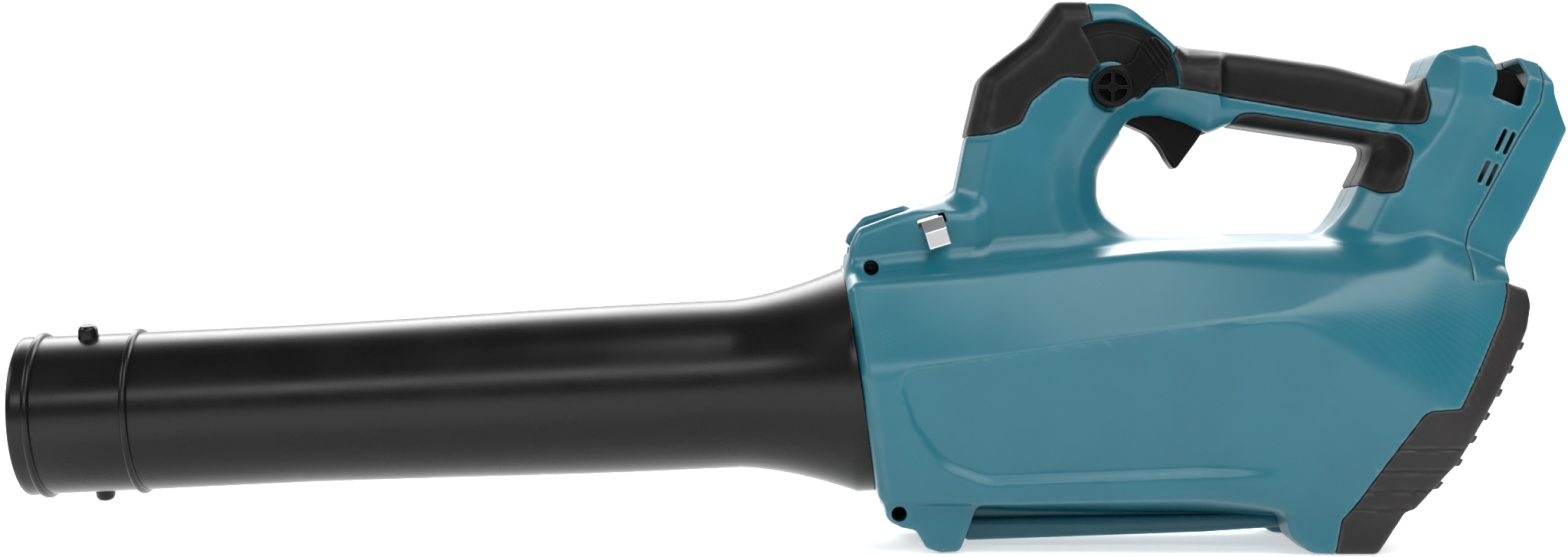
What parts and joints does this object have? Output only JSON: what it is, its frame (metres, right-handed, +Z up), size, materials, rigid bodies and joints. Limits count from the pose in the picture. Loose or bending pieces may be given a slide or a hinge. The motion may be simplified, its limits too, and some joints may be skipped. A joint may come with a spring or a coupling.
{
  "type": "leaf blower",
  "caption": "Cordless handheld leaf blower with a long tapered black air tube, teal clamshell body, soft-grip handle with trigger, slotted rear intake and an empty battery slide.",
  "frame": {"origin": "under the middle of the tool, on the floor that its four feet stand on", "axes": "+X from the air tip to the battery end, +Y to the right side of the tool, +Z up"},
  "size_m": [0.7573, 0.1536, 0.2668],
  "materials": {
    "teal_housing": "satin",
    "soft_grip": "matte",
    "black_plastic": "satin",
    "grille_plastic": "satin",
    "grey_plastic": "satin",
    "fan_plastic": "satin",
    "steel": "satin",
    "black_screw": "black oxide",
    "copper_winding": "satin",
    "brass_contact": "polished",
    "seal_rubber": "matte"
  },
  "bodies": {
    "body": {"housing_left": "teal_housing", "housing_right": "teal_housing", "hook_pad_left": "soft_grip", "hook_pad_right": "soft_grip", "handle_pad_left": "soft_grip", "handle_pad_right": "soft_grip", "finger_pad_left": "soft_grip", "finger_pad_right": "soft_grip", "nozzle_tube": "black_plastic", "duct_seal": "seal_rubber", "fan_duct": "black_plastic", "tail_cone": "black_plastic", "motor_case": "grey_plastic", "motor_stator": "copper_winding", "motor_end_plate": "grey_plastic", "bearing_front": "steel", "bearing_rear": "steel", "inlet_bell": "black_plastic", "intake_grille": "grille_plastic", "intake_screen": "grey_plastic", "trigger_pin": "steel", "trigger_spring": "steel", "switch_body": "black_plastic", "friction_washer": "steel", "latch_pin": "steel", "latch_spring": "steel", "strap_hanger": "steel", "battery_mount": "teal_housing", "terminal_block": "black_plastic", "terminal_blade_1": "brass_contact", "terminal_blade_2": "brass_contact", "terminal_blade_3": "brass_contact", "terminal_blade_4": "brass_contact", "controller_case": "grey_plastic", "controller_board": "black_plastic", "tower_liner": "black_plastic", "screw_front_upper": "black_screw", "screw_front_lower": "black_screw", "screw_strut": "black_screw", "screw_hook": "black_screw", "screw_hump": "black_screw", "screw_handle": "black_screw", "screw_tower_front": "black_screw", "screw_tower_base": "black_screw", "screw_keel_front": "black_screw", "screw_keel_rear": "black_screw"},
    "trigger": {"trigger": "black_plastic"},
    "plunger": {"switch_plunger": "fan_plastic"},
    "lever": {"speed_lever": "black_plastic", "lever_shaft": "steel", "lever_cam": "fan_plastic"},
    "latch": {"nozzle_latch": "teal_housing"},
    "rotor": {"motor_rotor": "steel", "impeller": "fan_plastic", "impeller_nut": "steel"}
  },
  "joints": [
    {"name": "trigger_pull", "type": "hinge", "parent": "body", "child": "trigger", "pos_m": [0.1715, 0, 0.2135], "axis": [0, -1, 0], "range_deg": [0, 13], "stiffness_Nm_per_rad": 0.35, "springref_deg": -20.05},
    {"name": "plunger_slide", "type": "slide", "parent": "body", "child": "plunger", "axis": [0, 0, 1], "range_m": [0, 0.0085]},
    {"name": "lever_turn", "type": "hinge", "parent": "body", "child": "lever", "pos_m": [0.1607, 0, 0.2245], "axis": [0, -1, 0], "range_deg": [0, 46]},
    {"name": "latch_lift", "type": "hinge", "parent": "body", "child": "latch", "pos_m": [0.0622, 0, 0.1582], "axis": [0, 1, 0], "range_deg": [0, 9], "stiffness_Nm_per_rad": 0.3, "springref_deg": -14.9},
    {"name": "rotor_spin", "type": "hinge", "parent": "body", "child": "rotor", "pos_m": [0.034, 0, 0.0812], "axis": [0.9989, 0, 0.0462], "continuous": true}
  ],
  "couplings": [
    {"joint": "plunger_slide", "follows": "trigger_pull", "m_per_rad": 0.033}
  ]
}
